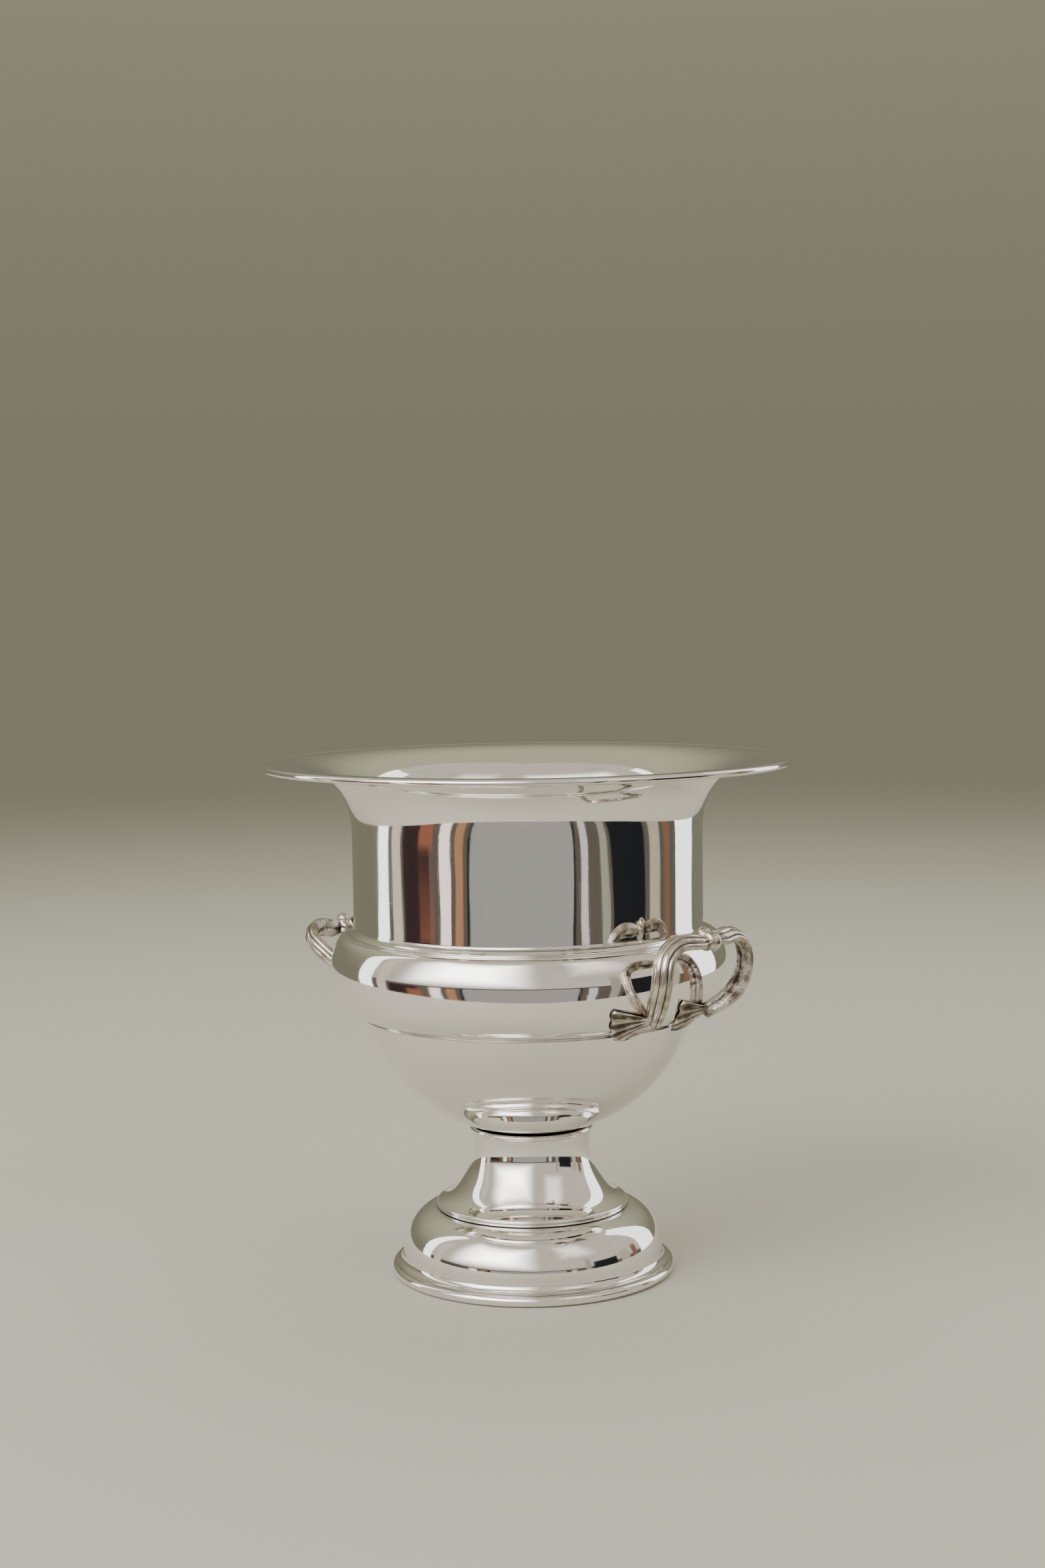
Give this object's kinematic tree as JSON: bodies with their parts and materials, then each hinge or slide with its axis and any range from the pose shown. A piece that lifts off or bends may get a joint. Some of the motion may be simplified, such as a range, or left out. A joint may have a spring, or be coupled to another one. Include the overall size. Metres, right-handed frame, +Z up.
{
  "type": "champagne bucket",
  "caption": "Silver-plated champagne bucket: flared mouth, straight neck, round belly, deep bowl, trumpet foot and cast bow handles with pleated fans.",
  "frame": {"origin": "middle of the foot's underside, on the surface that the bucket stands on", "axes": "+Z up along the bucket's axis; +X from the axis through the middle of the right handle; the left handle is at -X"},
  "size_m": [0.2579, 0.254, 0.248],
  "materials": {
    "polished_silver": "mirror-polished silver plate with fine polishing scratches and a slight warm tarnish in the crevices",
    "cast_silver": "cast silver plate, polished on the high parts, duller and darker in the reeds, pleats and backs"
  },
  "bodies": {
    "root": {"rim_wire": "polished_silver", "upper_body": "polished_silver", "lower_bowl": "polished_silver", "foot_collar": "polished_silver", "foot_stem": "polished_silver", "foot_dome": "polished_silver", "foot_rim": "polished_silver", "right_arm_front": "cast_silver", "right_arm_back": "cast_silver", "right_handle_tie": "cast_silver", "right_fan_front": "cast_silver", "right_fan_back": "cast_silver", "left_arm_front": "cast_silver", "left_arm_back": "cast_silver", "left_handle_tie": "cast_silver", "left_fan_front": "cast_silver", "left_fan_back": "cast_silver"}
  },
  "joints": []
}
